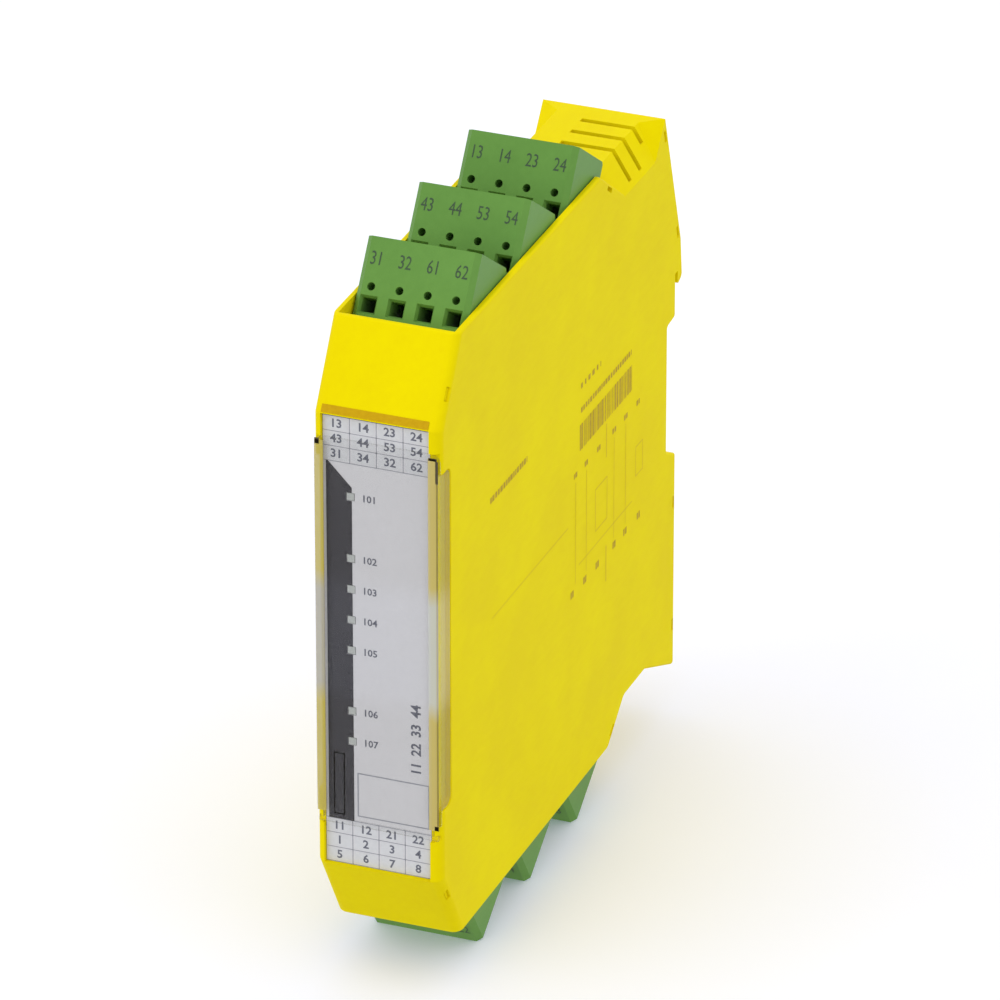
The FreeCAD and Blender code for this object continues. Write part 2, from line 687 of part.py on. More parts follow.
# ---------------------------------------------------------------- boards
def board_zone():
    """Sheet inside the housing's edge walls, clear of the headers and the latch."""
    face = Part.Face(outline(side_outline())).makeOffset2D(-WALL - BOARD_EDGE_GAP, 2)
    face.translate(V(BOARD_LEFT, 0, 0))
    sheet = face.extrude(V(BOARD_THICK, 0, 0))
    block = latch_block().BoundBox
    sheet = sheet.cut(box(-SIDE, SIDE, -1, FRONT_INSIDE + GUIDE_LONG + COVER_GAP, -1, HEIGHT + 1))
    sheet = sheet.cut(box(-SIDE, SIDE, block.YMin - 2 * BOARD_EDGE_GAP, DEPTH, -1, HEIGHT))
    zone = [
        plug_point(0, -20, -40),
        plug_point(PLUG_ROWS - 1, 40, -40),
        plug_point(PLUG_ROWS - 1, 40, HEADER_END + BOARD_EDGE_GAP),
    ]
    for row in range(PLUG_ROWS - 1, -1, -1):
        if row < PLUG_ROWS - 1:
            wall_back = PARTITION_FRONT + PARTITION + PARTITION_GAP
            zone.append(plug_point(row, wall_back, HEADER_END + BOARD_EDGE_GAP))
        zone.append(plug_point(row, HEADER_NOSE - BOARD_EDGE_GAP if row else -20, HEADER_END + BOARD_EDGE_GAP))
    above = prism(zone, -SIDE, SIDE)
    return sheet.cut(above).cut(upside_down(above))


def main_board():
    return board_zone()


def relay(column, line):
    """Slim relay with forcibly guided contacts, standing on the main board."""
    y = RELAY_FRONT + column * (RELAY_LONG + RELAY_GAP_Y)
    z = MIDDLE - RELAY_HIGH - RELAY_GAP_Z / 2 + line * (RELAY_HIGH + RELAY_GAP_Z)
    body = box(BOARD_RIGHT, BOARD_RIGHT + RELAY_STAND, y, y + RELAY_LONG, z, z + RELAY_HIGH)
    upright = [e for e in body.Edges if e.BoundBox.XLength > 1]
    return body.makeFillet(0.8, upright)


def logic_board():
    right = INNER - LOGIC_FROM_WALL
    low = MIDDLE - LOGIC_TALL / 2
    back = LOGIC_FRONT + LOGIC_LONG
    return box(right - BOARD_THICK, right, LOGIC_FRONT, back, low, low + LOGIC_TALL)


def board_connector():
    """Pin strip between the two boards."""
    right = INNER - LOGIC_FROM_WALL - BOARD_THICK
    y = LOGIC_FRONT + LOGIC_LONG - STRIP_THICK
    half = STRIP_THICK / 2
    tall = STRIP_POLES * STRIP_PITCH
    low = MIDDLE - tall / 2
    pieces = [box(BOARD_RIGHT, BOARD_RIGHT + STRIP_THICK, y - half, y + half, low, low + tall)]
    for index in range(STRIP_POLES):
        z = low + STRIP_PITCH * (index + 0.5)
        pin = STRIP_PIN / 2
        pieces.append(box(BOARD_RIGHT, right, y - pin, y + pin, z - pin, z + pin))
    return joined(pieces)


def controller_chips():
    right = INNER - LOGIC_FROM_WALL - BOARD_THICK
    half = CHIP_SIZE / 2
    y = LOGIC_FRONT + LOGIC_LONG / 2
    chips = []
    for z in (MIDDLE - CHIP_APART / 2, MIDDLE + CHIP_APART / 2):
        chips.append(box(right - CHIP_THICK, right, y - half, y + half, z - half, z + half))
    return Part.makeCompound(chips)


def power_capacitors():
    y = CAPACITOR_FRONT + CAPACITOR_R
    cans = []
    for z in (MIDDLE - CAPACITOR_APART * 1.5, MIDDLE - CAPACITOR_APART / 2):
        cans.append(Part.makeCylinder(CAPACITOR_R, CAPACITOR_LONG, V(BOARD_RIGHT, y, z), V(1, 0, 0)))
    return Part.makeCompound(cans)


def power_inductor():
    z = MIDDLE + CAPACITOR_APART / 2
    y = CAPACITOR_FRONT
    core = box(BOARD_RIGHT, BOARD_RIGHT + INDUCTOR_STAND, y, y + INDUCTOR_SIZE, z, z + INDUCTOR_SIZE)
    corners = [e for e in core.Edges if e.BoundBox.XLength > 1]
    return core.makeChamfer(INDUCTOR_SIZE / 6, corners)


# ---------------------------------------------------------------- plug, clamp springs, header
def plug():
    half = PLUG_HALF
    block = plug_box(0, 0, PLUG_THICK, 0, PLUG_FACE, -half, half)
    tilt = math.radians(PLUG_TILT)
    normal = V(0, math.cos(tilt), -math.sin(tilt))
    edges = []
    for edge in block.Edges:
        centre = edge.CenterOfMass
        s = (V(0, centre.y, centre.z) - V(0, *plug_point(0, 0, 0))).dot(normal)
        if edge.BoundBox.XLength < 0.01 and abs(s) < 0.01:
            edges.append(edge)
    block = block.makeChamfer(PLUG_CHAMFER, edges)
    top_back = V(0, *plug_point(0, PLUG_THICK, 0))
    edges = [e for e in block.Edges if e.BoundBox.XLength > 1 and (e.CenterOfMass - top_back).Length < 0.1]
    block = block.makeChamfer(PLUG_BACK_CHAMFER, edges)
    side = half - TONGUE_SIDE
    back = PLUG_THICK - TONGUE_BACK
    tongue = plug_box(0, TONGUE_FRONT, back, PLUG_FACE - 0.5, TONGUE_END, -side, side)
    whole = joined([block, tongue])
    into = V(0, math.cos(tilt), -math.sin(tilt))
    cuts = []
    for x in pole_places():
        hole = V(x, *plug_point(0, -0.5, TEST_HOLE_DOWN))
        cuts.append(Part.makeCylinder(TEST_HOLE_R, TEST_HOLE_DEEP + 0.5, hole, into))
        cuts.append(wire_opening(x))
        cuts.append(plug_box(0, -0.5, 0.6, RELEASE_DOWN - 0.25, RELEASE_DOWN + 0.25, x - 0.9, x + 0.9))
        cuts.append(pole_chamber(x))
        pin = PIN_SIZE / 2 + 0.3
        middle = (TONGUE_FRONT + back) / 2
        low = CHAMBER_TOP + CHAMBER_LONG - 1
        cuts.append(plug_box(0, middle - pin, middle + pin, low, TONGUE_END + 1, x - pin, x + pin))
    return whole.cut(cuts)


def pole_chamber(x):
    half = CHAMBER_WIDE / 2
    back = PLUG_THICK - CHAMBER_BACK
    top = CHAMBER_TOP
    low = PLUG_FACE - 1.0
    tongue_low = top + CHAMBER_LONG
    corners = [
        (CHAMBER_FRONT, top),
        (back, top),
        (back, low),
        (PLUG_THICK - TONGUE_BACK - 1.4, low),
        (PLUG_THICK - TONGUE_BACK - 1.4, tongue_low),
        (CHAMBER_FRONT, tongue_low),
    ]
    return plug_prism(0, corners, x - half, x + half)


def wire_opening(x):
    """Square opening with a bevelled mouth, through to the clamp chamber."""
    half = WIRE_HOLE / 2
    wide = half + WIRE_FUNNEL
    straight = plug_box(0, -0.5, CHAMBER_FRONT + 0.5, WIRE_HOLE_DOWN - half, WIRE_HOLE_DOWN + half,
                        x - half, x + half)
    mouths = []
    for s, size in ((-0.001, wide), (2 * WIRE_FUNNEL, half)):
        corners = []
        for dx, dt in ((-1, -1), (1, -1), (1, 1), (-1, 1)):
            corners.append(V(x + dx * size, *plug_point(0, s, WIRE_HOLE_DOWN + dt * size)))
        mouths.append(Part.makePolygon(corners + [corners[0]]))
    mouth = Part.makeLoft(mouths, True, True)
    return straight.fuse(mouth)


def plug_springs():
    """One cage clamp per pole: a spring loop round the contact bar, whose fork grips the header pin."""
    tilt_middle = (TONGUE_FRONT + PLUG_THICK - TONGUE_BACK) / 2
    half = SPRING_WIDE / 2
    thick = SPRING_THICK
    clamps = []
    loop_front = CHAMBER_FRONT + 0.4
    loop_back = tilt_middle + 2.6
    loop_top = WIRE_HOLE_DOWN - 3.6
    loop_low = WIRE_HOLE_DOWN + 1.7
    for x in pole_places():
        ring = [
            (loop_front, loop_top), (loop_back, loop_top), (loop_back, loop_low), (loop_front, loop_low),
            (loop_front, loop_low - thick), (loop_back - thick, loop_low - thick),
            (loop_back - thick, loop_top + thick), (loop_front, loop_top + thick),
        ]
        clamps.append(plug_prism(0, ring, x - half, x + half))
        fork_top = loop_low + 0.3
        fork_low = CHAMBER_TOP + CHAMBER_LONG - 0.3
        gap = PIN_SIZE / 2 + 0.15
        bar = [
            (tilt_middle - gap - thick, fork_top), (tilt_middle + gap + thick, fork_top),
            (tilt_middle + gap + thick, fork_low), (tilt_middle + gap, fork_low),
            (tilt_middle + gap, fork_top + thick), (tilt_middle - gap, fork_top + thick),
            (tilt_middle - gap, fork_low), (tilt_middle - gap - thick, fork_low),
        ]
        clamps.append(plug_prism(0, bar, x - half, x + half))
    return Part.makeCompound(clamps)


def header():
    """Base strip: a shroud that the plug's tongue goes into, with a guide wall behind the plug."""
    x = INNER - HEADER_SIDE
    cavity_x = PLUG_HALF - TONGUE_SIDE + TONGUE_GAP
    floor = TONGUE_END + TONGUE_GAP
    shroud = plug_box(0, HEADER_NOSE, GUIDE_BACK, HEADER_TOP, HEADER_END, -x, x)
    guide = plug_box(0, GUIDE_FRONT, GUIDE_BACK, HEADER_GUIDE_TOP, HEADER_END, -x, x)
    back = PLUG_THICK - TONGUE_BACK + TONGUE_GAP
    cavity = plug_box(0, TONGUE_FRONT - TONGUE_GAP, back, HEADER_TOP - 1, floor, -cavity_x, cavity_x)
    body = joined([shroud, guide]).cut(cavity)
    holes = []
    middle = (TONGUE_FRONT + PLUG_THICK - TONGUE_BACK) / 2
    pin = PIN_SIZE / 2
    for place in pole_places():
        holes.append(plug_box(0, middle - pin, middle + pin, floor - 1, HEADER_END + 1, place - pin, place + pin))
    return body.cut(holes)


def header_pins():
    """Square pins through the header's floor, bent over to reach the main board in a row."""
    middle = (TONGUE_FRONT + PLUG_THICK - TONGUE_BACK) / 2
    pin = PIN_SIZE / 2
    tip = TONGUE_END - 6.5
    pins = []
    for index, place in enumerate(pole_places()):
        end = HEADER_END + 1.6 + index * PIN_ROW_STEP
        upright = plug_box(0, middle - pin, middle + pin, tip, end, place - pin, place + pin)
        leg = plug_box(0, middle - pin, middle + pin, end - PIN_SIZE, end, BOARD_RIGHT, place + pin)
        pins.append(joined([upright, leg]))
    return Part.makeCompound(pins)


# ---------------------------------------------------------------- rail latch
def rail_latch():
    half = LATCH_WIDE / 2
    front = latch_front()
    back = REAR_Y - 0.1
    hook_y = REAR_Y + 0.2
    tip = RAIL_LOW + LATCH_OVERLAP
    ledge = RAIL_LOW - 0.3
    side = [
        (front, LATCH_LOW, 0.4),
        (back, LATCH_LOW, 0.4),
        (back, ledge - 3.6),
        (hook_y + LATCH_HOOK - 0.2, ledge - 1.8, 0.3),
        (hook_y + LATCH_HOOK - 0.2, ledge + 0.6, 0.3),
        (hook_y + 0.9, tip, 0.2),
        (hook_y, tip, 0.2),
        (hook_y, ledge),
        (front, ledge),
    ]
    body = prism(side, -half, half)
    top = SPRING_LOW + SPRING_LONG
    shoulder_x = SPRING_POCKET - LATCH_FIT
    y = spring_place()
    shoulder = box(-shoulder_x, shoulder_x, y - SPRING_POCKET + LATCH_FIT, front + 0.5,
                   top, top + LATCH_SHOULDER)
    rib_front = front + (LATCH_THICK - LATCH_RIB_THICK) / 2
    rib_x = half + LATCH_RIB
    ribs = box(-rib_x, rib_x, rib_front, rib_front + LATCH_RIB_THICK, LATCH_LOW + LATCH_HOOK, latch_rib_top())
    slot_x = LATCH_WIDE / 4
    tool_slot = box(-slot_x, slot_x, front - 1, back + 1, LATCH_LOW + LATCH_HOOK, LATCH_LOW + 2 * LATCH_HOOK)
    return joined([body, shoulder, ribs]).cut(tool_slot)


def latch_spring():
    pitch = (SPRING_LONG - 2 * SPRING_WIRE_R) / SPRING_TURNS
    path = Part.makeHelix(pitch, SPRING_LONG - 2 * SPRING_WIRE_R - 0.02, SPRING_R - SPRING_WIRE_R)
    start = V(SPRING_R - SPRING_WIRE_R, 0, 0)
    circle = Part.Wire(Part.makeCircle(SPRING_WIRE_R, start, V(0, 1, 0)))
    coil = Part.Wire(path).makePipeShell([circle], True, True)
    coil.translate(V(0, spring_place(), SPRING_LOW + SPRING_WIRE_R + 0.01))
    return coil


# ---------------------------------------------------------------- export
def export(name, shape):
    placed = shape.copy()
    placed.translate(V(0, -SEAT_Y, -RAIL_MIDDLE))
    placed.exportStep("parts/" + name + ".step")
    print("%-24s solids %2d  volume %10.2f  valid %s" % (
        name, len(placed.Solids), placed.Volume, placed.isValid()))


def main():
    os.makedirs("parts", exist_ok=True)
    shell, side_cover = shell_and_cover()
    export("housing_shell", shell)
    export("side_cover", side_cover)
    export("label_plate", label_plate())
    export("clear_cover", clear_cover())
    export("light_guide", light_guide())
    export("status_leds", status_leds())
    export("main_board", main_board())
    export("logic_board", logic_board())
    export("board_connector", board_connector())
    export("controller_chips", controller_chips())
    export("power_capacitors", power_capacitors())
    export("power_inductor", power_inductor())
    for column in range(2):
        for line in range(2):
            export("relay_%d" % (1 + column * 2 + line), relay(column, line))
    for name, shape in (("plug", plug()), ("plug_%d_springs", plug_springs()),
                        ("header", header()), ("header_%d_pins", header_pins())):
        pattern = name if "%d" in name else name + "_%d"
        for row in range(PLUG_ROWS):
            piece = shape.copy()
            piece.translate(V(0, row * PLUG_PITCH, 0))
            export("top_" + pattern % (row + 1), piece)
            export("bottom_" + pattern % (row + 1), upside_down(piece))
    export("rail_latch", rail_latch())
    export("latch_spring", latch_spring())


main()
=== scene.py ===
# %% [markdown]
# # A slim safety relay for a control cabinet
#
# The real object is a narrow yellow housing that clips on a rail. Green plugs stand out of it at the
# top and the bottom, and a clear flap lies over a printed label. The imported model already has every
# moulded piece at its true size, so this lesson adds what a model of solids has no room for: the
# finishes, the inks on the label, the side and the plugs, the light and the camera.

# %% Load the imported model
import math
import random

import bmesh
import bpy
from mathutils import Matrix, Vector


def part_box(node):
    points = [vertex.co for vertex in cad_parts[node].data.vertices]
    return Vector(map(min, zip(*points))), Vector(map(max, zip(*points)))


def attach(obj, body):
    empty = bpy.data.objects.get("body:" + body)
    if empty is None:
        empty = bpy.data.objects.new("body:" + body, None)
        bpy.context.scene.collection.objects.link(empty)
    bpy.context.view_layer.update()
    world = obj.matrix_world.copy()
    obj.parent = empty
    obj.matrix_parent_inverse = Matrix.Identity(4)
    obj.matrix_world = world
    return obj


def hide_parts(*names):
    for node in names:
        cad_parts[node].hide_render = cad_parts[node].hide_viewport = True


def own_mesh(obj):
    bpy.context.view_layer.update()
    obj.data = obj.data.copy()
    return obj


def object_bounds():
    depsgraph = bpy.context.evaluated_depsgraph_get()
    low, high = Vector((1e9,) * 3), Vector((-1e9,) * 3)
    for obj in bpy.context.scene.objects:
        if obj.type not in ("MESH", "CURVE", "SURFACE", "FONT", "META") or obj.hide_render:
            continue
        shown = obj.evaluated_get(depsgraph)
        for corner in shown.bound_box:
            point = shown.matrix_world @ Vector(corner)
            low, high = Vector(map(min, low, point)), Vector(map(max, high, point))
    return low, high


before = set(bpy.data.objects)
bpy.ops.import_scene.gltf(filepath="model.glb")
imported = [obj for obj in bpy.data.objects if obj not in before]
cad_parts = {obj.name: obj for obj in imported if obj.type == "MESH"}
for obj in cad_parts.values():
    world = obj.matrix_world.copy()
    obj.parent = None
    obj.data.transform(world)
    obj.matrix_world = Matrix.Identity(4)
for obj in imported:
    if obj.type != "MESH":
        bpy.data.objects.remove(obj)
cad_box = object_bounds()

MM = 0.001

# %% [markdown]
# ## The camera
#
# A very long lens keeps the upright edges of the module parallel. The camera stands to the right of
# the front and looks down on the module. It could be placed by hand in the viewport. Working it out
# from two angles, a distance and a target keeps the numbers few, and the small shift only sets where
# the module sits in the frame.

# %% Set the camera
VIEW_TURN = math.radians(21.244)
VIEW_DOWN = math.radians(26.882)
VIEW_DISTANCE = 1.56714
VIEW_TARGET = Vector((0.0, -0.0541, -0.0039))
SENSOR_WIDTH = 36.0
LENS_TO_SENSOR = 9.191
SHIFT_ACROSS = -0.00225
SHIFT_UP = 0.00552
NEAREST = 0.05
FARTHEST = 20.0

ahead = Vector((-math.sin(VIEW_TURN) * math.cos(VIEW_DOWN),
                math.cos(VIEW_TURN) * math.cos(VIEW_DOWN),
                -math.sin(VIEW_DOWN)))
lens = bpy.data.cameras.new("camera")
lens.sensor_width = SENSOR_WIDTH
lens.lens = LENS_TO_SENSOR * SENSOR_WIDTH
lens.shift_x = SHIFT_ACROSS
lens.shift_y = SHIFT_UP
lens.clip_start = NEAREST
lens.clip_end = FARTHEST
camera = bpy.data.objects.new("camera", lens)
camera.location = VIEW_TARGET - ahead * VIEW_DISTANCE
camera.rotation_euler = ahead.to_track_quat("-Z", "Y").to_euler()
bpy.context.scene.collection.objects.link(camera)
bpy.context.scene.camera = camera
bpy.context.scene.view_settings.view_transform = "Standard"
print("camera", [round(v, 3) for v in camera.location], "lens", round(lens.lens))

# %% [markdown]
# ## Writing materials as sums
#
# A moulded plastic is one colour with many small disturbances added to it. It could be wired by hand
# in the node editor. Writing it as arithmetic is shorter and shows the thought: a `Tone` holds a
# socket, and adding or multiplying tones adds the Math nodes. Colours go through Mix nodes, because
# a Math node would turn them grey.


# %% A small class for shader arithmetic
class Tone:
    """A value on its way through a finish."""

    def __init__(self, finish, socket):
        self.finish = finish
        self.socket = socket

    def combine(self, operation, *values):
        return self.finish.node("ShaderNodeMath", {"operation": operation}, dict(enumerate(values)))

    def __add__(self, other):
        return self.combine("ADD", self, other)

    def __sub__(self, other):
        return self.combine("SUBTRACT", self, other)

    def __rsub__(self, other):
        return self.combine("SUBTRACT", other, self)

    def __mul__(self, other):
        return self.combine("MULTIPLY", self, other)

    def __truediv__(self, other):
        return self.combine("DIVIDE", self, other)

    def __rtruediv__(self, other):
        return self.combine("DIVIDE", other, self)

    def __abs__(self):
        return self.combine("ABSOLUTE", self)

    __radd__ = __add__
    __rmul__ = __mul__


print("tones can be added, subtracted, multiplied and divided")

# %% [markdown]
# ## A finish and its nodes
#
# Each plastic, ink and metal is one material. Its nodes could be made one by one, with a line for
# each socket. One method that takes a node's type, its settings and what goes into its sockets is
# enough for all of them. Patterns are laid out on object coordinates in millimetres, so that a grain
# has the same size on every piece.


# %% A class for one finish
class Finish:
    """One surface finish: a material, and the nodes that lead to its shader."""

    def __init__(self, name):
        self.material = bpy.data.materials.new(name)
        self.material.use_nodes = True
        self.tree = self.material.node_tree
        self.shader = self.tree.nodes["Principled BSDF"]

    def feed(self, socket, value):
        """Lead a tone into a socket, or set the socket to a plain value."""
        if isinstance(value, Tone):
            self.tree.links.new(value.socket, socket)
        else:
            socket.default_value = value

    def node(self, kind, settings=None, inputs=None, output=0):
        made = self.tree.nodes.new(kind)
        for key, value in (settings or {}).items():
            setattr(made, key, value)
        for key, value in (inputs or {}).items():
            self.feed(made.inputs[key], value)
        return Tone(self, made.outputs[output])

    def places(self, scale=(1, 1, 1), turn=(0, 0, 0)):
        here = self.node("ShaderNodeTexCoord", output="Object")
        return self.node("ShaderNodeMapping", None, {"Vector": here, "Scale": scale, "Rotation": turn})

    def along(self, axis):
        here = self.node("ShaderNodeTexCoord", output="Object")
        return self.node("ShaderNodeSeparateXYZ", None, {"Vector": here}, output=axis)

    def noise(self, per_mm, detail=2.0, roughness=0.5, stretch=(1, 1, 1)):
        return self.node("ShaderNodeTexNoise", None, {
            "Vector": self.places(stretch), "Scale": per_mm / MM, "Detail": detail,
            "Roughness": roughness})

    def mix(self, factor, low, high):
        return self.node("ShaderNodeMix", {"data_type": "RGBA"}, {0: factor, 6: low, 7: high}, output=2)

    def spread(self, value, low, high, to_low=0.0, to_high=1.0):
        return self.node("ShaderNodeMapRange", None, {
            "Value": value, "From Min": low, "From Max": high, "To Min": to_low, "To Max": to_high})

    def bump(self, height, depth_mm):
        return self.node("ShaderNodeBump", None, {
            "Height": height, "Distance": depth_mm * MM, "Strength": 1.0})

    def set(self, **sockets):
        for key, value in sockets.items():
            self.feed(self.shader.inputs[key.replace("_", " ")], value)


def rgb(red, green, blue):
    """A colour given as it looks on a screen, 0 to 255."""
    def linear(value):
        value = value / 255.0
        return value / 12.92 if value < 0.04045 else ((value + 0.055) / 1.055) ** 2.4
    return (linear(red), linear(green), linear(blue), 1.0)


print("finishes are written with Tone and Finish")

# %% [markdown]
# ## Moulded plastics
#
# The housing and the terminals are polyamide, moulded in steel tools whose faces were spark eroded.
# That leaves a fine, even grain, a satin gloss and faint clouds where the melt met. An image of
# plastic could be wrapped round the parts. Noise is used, because the grain has no direction: one
# noise at a tenth of a millimetre for the grain, and one at centimetres for the clouds. The yellow
# has next to no gleam, since a white one would make it look pale where it is seen at a slant.

# %% Yellow and green polyamide
CLOUDS_PER_MM = 0.055
FLOW_PER_MM = 0.9
PITS_PER_MM = 2.6
GRAIN_DEPTH = 0.010
PLASTIC_IOR = 1.53


def moulded(name, colour, deep, grain_mm=0.12, gloss=0.40, gleam=0.25, shine=(1, 1, 1, 1)):
    finish = Finish(name)
    clouds = finish.noise(CLOUDS_PER_MM, 3.0, 0.55)
    flow = finish.noise(FLOW_PER_MM, 2.0, 0.5, stretch=(1, 0.25, 1))
    grain = finish.noise(1.0 / grain_mm, 2.0, 0.6)
    pits = finish.noise(PITS_PER_MM, 1.0, 0.5)
    shade = finish.spread(clouds * 0.75 + flow * 0.25, 0.38, 0.66)
    finish.set(Base_Color=finish.mix(shade, deep, colour))
    finish.set(Roughness=gloss + (grain - 0.5) * 0.10 + (clouds - 0.5) * 0.08)
    finish.set(Normal=finish.bump(grain + pits * 0.5, GRAIN_DEPTH))
    finish.set(Specular_IOR_Level=gleam, Specular_Tint=shine, IOR=PLASTIC_IOR)
    return finish.material


yellow = moulded("housing_yellow", rgb(241, 223, 5), rgb(236, 215, 7), gloss=0.48, gleam=0.02,
                 shine=rgb(255, 236, 70))
green = moulded("terminal_green", rgb(106, 151, 72), rgb(98, 142, 66), grain_mm=0.14, gloss=0.42,
                gleam=0.12, shine=rgb(200, 255, 190))
print("made", yellow.name, green.name)

# %% [markdown]
# ## The printed label
#
# The label is a grey plate under the clear flap. Its ink is not quite even and its surface has a fine
# tooth that takes a marker. One finish with painted regions could do for all of it. Each ink is a
# finish of its own instead, because each is a film of its own shape. Inks on the yellow plastic get
# next to no gleam, as the plastic under them.

# %% Label and inks
MOTTLE_PER_MM = 1.4
TOOTH_PER_MM = 12.0
TOOTH_DEPTH = 0.004


def printed(name, colour, deep, gloss=0.5, gleam=0.5):
    finish = Finish(name)
    mottle = finish.noise(MOTTLE_PER_MM, 3.0, 0.6)
    tooth = finish.noise(TOOTH_PER_MM, 2.0, 0.6)
    finish.set(Base_Color=finish.mix(finish.spread(mottle, 0.3, 0.7), deep, colour))
    finish.set(Roughness=gloss + (tooth - 0.5) * 0.12, Normal=finish.bump(tooth, TOOTH_DEPTH))
    finish.set(Specular_IOR_Level=gleam)
    return finish.material


label_grey = printed("label_grey", rgb(215, 214, 217), rgb(210, 209, 212))
ink_slate = printed("ink_slate", rgb(42, 39, 46), rgb(36, 34, 40), gloss=0.42)
ink_dark = printed("ink_dark", rgb(104, 106, 118), rgb(92, 94, 106))
ink_line = printed("ink_line", rgb(156, 158, 166), rgb(148, 150, 158))
ink_pale = printed("ink_pale", rgb(211, 212, 215), rgb(204, 205, 208))
ink_number = printed("ink_number", rgb(40, 74, 34), rgb(32, 62, 28), gloss=0.45)
# Painted shade: a deeper yellow for the lip above the label, which lies in its own shade.
ink_painted_shade_on_lip = printed("ink_painted_shade_on_lip", rgb(206, 166, 14), rgb(196, 154, 12), gleam=0.05)
# Painted shadow: a dark brown for the gap under the lip and for the dark corners of the flap.
ink_painted_shadow = printed("ink_painted_shadow", rgb(70, 58, 12), rgb(56, 46, 10))
ink_laser = printed("ink_laser", rgb(200, 168, 40), rgb(178, 146, 38), gleam=0.05)
ink_faint = printed("ink_faint", rgb(218, 190, 30), rgb(210, 180, 28), gleam=0.05)
print("made", len([m for m in bpy.data.materials if m.name.startswith("ink_")]), "inks")

# %% [markdown]
# ## The clear flap and the light guide
#
# The flap is polished polycarbonate. It could be real glass in the shader, but then the label behind
# it would lie in a dark shadow, because light that bends through a thin plate is costly to follow.
# A surface that is nearly see-through, and denser at its edges, looks the same at this size. The
# edges carry a painted milky light halfway up, where they catch the light, and take the tint of the
# housing beyond.

# %% Clear plastic
FLAP_MIDDLE = -2.8
FLAP_MIDDLE_HALF = 10.3
CLEAR_IOR = 1.58


def flap_middle(finish, streaks):
    """One halfway up the flap, and nothing towards its ends."""
    away = abs(finish.along(2) - FLAP_MIDDLE * MM) / (FLAP_MIDDLE_HALF * MM)
    return finish.spread(away + (streaks - 0.5) * 0.2, 0.85, 1.2, 1.0, 0.0)


def clear_plastic(name, colour, density, edge, milky=None):
    finish = Finish(name)
    rim = finish.node("ShaderNodeLayerWeight", None, {"Blend": 0.5}, output="Facing")
    haze = finish.noise(0.08, 2.0, 0.5)
    scuffs = finish.noise(0.7, 3.0, 0.6, stretch=(1, 1, 0.08))
    # Halfway up, the colour is a painted milky light that the edges catch.
    finish.set(Base_Color=finish.mix(flap_middle(finish, scuffs), colour, milky or colour))
    finish.set(Alpha=density + rim * rim * edge + (haze - 0.5) * 0.02, IOR=CLEAR_IOR)
    finish.set(Roughness=0.07 + finish.spread(scuffs, 0.5, 0.9, 0.0, 0.12))
    return finish.material


clear = clear_plastic("clear_flap", rgb(150, 148, 128), 0.015, 0.5, milky=rgb(206, 210, 214))
guide = clear_plastic("light_guide", rgb(206, 210, 206), 0.75, 0.2)
print("made", clear.name, guide.name)

# %% [markdown]
# ## Light caught in the edges
#
# Light that enters a clear plate is trapped until it reaches an edge, so the edges of the flap look
# dark or milky while its face can't be seen. Glass shading could show that only with many bounces.
# A nearly dense finish for narrow films along the edges gives the same look, as painted light and shade.


# %% Painted edge light and shade
def edge_light_paint(name, lit, milky):
    """Painted light caught in an edge: milky halfway up the flap, and the colour of the housing towards
    its ends.
    """
    finish = Finish(name)
    streaks = finish.noise(0.5, 2.0, 0.5, stretch=(1, 1, 0.1))
    finish.set(Base_Color=finish.mix(flap_middle(finish, streaks), lit, milky))
    finish.set(Roughness=0.25 + streaks * 0.2, Alpha=0.86, Specular_IOR_Level=0.3)
    return finish.material


# A bright and a dimmer copy of the painted edge light, and a painted dark rim.
painted_edge_light_bright = edge_light_paint("painted_edge_light_bright", rgb(202, 184, 108), rgb(201, 203, 195))
painted_edge_light_dim = edge_light_paint("painted_edge_light_dim", rgb(192, 176, 84), rgb(174, 170, 156))
painted_rim_shade = edge_light_paint("painted_rim_shade", rgb(142, 126, 66), rgb(172, 168, 160))
print("made", painted_edge_light_bright.name, painted_edge_light_dim.name, painted_rim_shade.name)

# %% [markdown]
# ## Metals
#
# Header pins are drawn brass with a tin coat, and the clamps are stamped from spring steel strip.
# A plain grey with no pattern could pass at a distance. Drawing and rolling leave fine lines along
# the strip, so the noise is stretched along it.


# %% Tin and spring steel
def metal(name, colour, deep, rough, lines):
    finish = Finish(name)
    streaks = finish.noise(3.0, 3.0, 0.6, stretch=lines)
    stains = finish.noise(0.5, 3.0, 0.6)
    finish.set(Base_Color=finish.mix(finish.spread(stains, 0.35, 0.7), deep, colour), Metallic=1.0)
    finish.set(Roughness=rough + (streaks - 0.5) * 0.2, Normal=finish.bump(streaks, 0.01))
    return finish.material


tin = metal("tinned_contact", rgb(214, 208, 190), rgb(200, 190, 168), 0.34, (1, 1, 0.1))
steel = metal("spring_steel", rgb(196, 196, 194), rgb(176, 176, 176), 0.30, (0.1, 1, 1))
print("made", tin.name, steel.name)

# %% [markdown]
# ## What is inside
#
# The boards show through the vents and where a plug has been pulled. Solder mask is a thin glossy
# film over copper lines. The lines could be cut as shapes, but they are a few hundredths of a
# millimetre high, so a brick pattern lifts the film a little and lightens it along the tracks.

# %% Boards and components
TRACK_PITCH = 4.0


def solder_mask(name):
    finish = Finish(name)
    here = finish.places(turn=(0, math.radians(90), 0))
    tracks = finish.node("ShaderNodeTexBrick", {"offset": 0.5}, {
        "Vector": here, "Scale": 1.0 / (TRACK_PITCH * MM), "Mortar Size": 0.05, "Mortar Smooth": 0.4,
        "Brick Width": 0.9, "Row Height": 0.35}, output="Fac")
    weave = finish.noise(2.2, 2.0, 0.5)
    base = finish.mix(finish.spread(weave, 0.3, 0.7), rgb(14, 74, 44), rgb(18, 86, 52))
    finish.set(Base_Color=finish.mix(tracks * 0.55, base, rgb(44, 128, 82)))
    finish.set(Roughness=0.28 + (weave - 0.5) * 0.1, Normal=finish.bump(tracks + weave * 0.3, 0.03))
    return finish.material


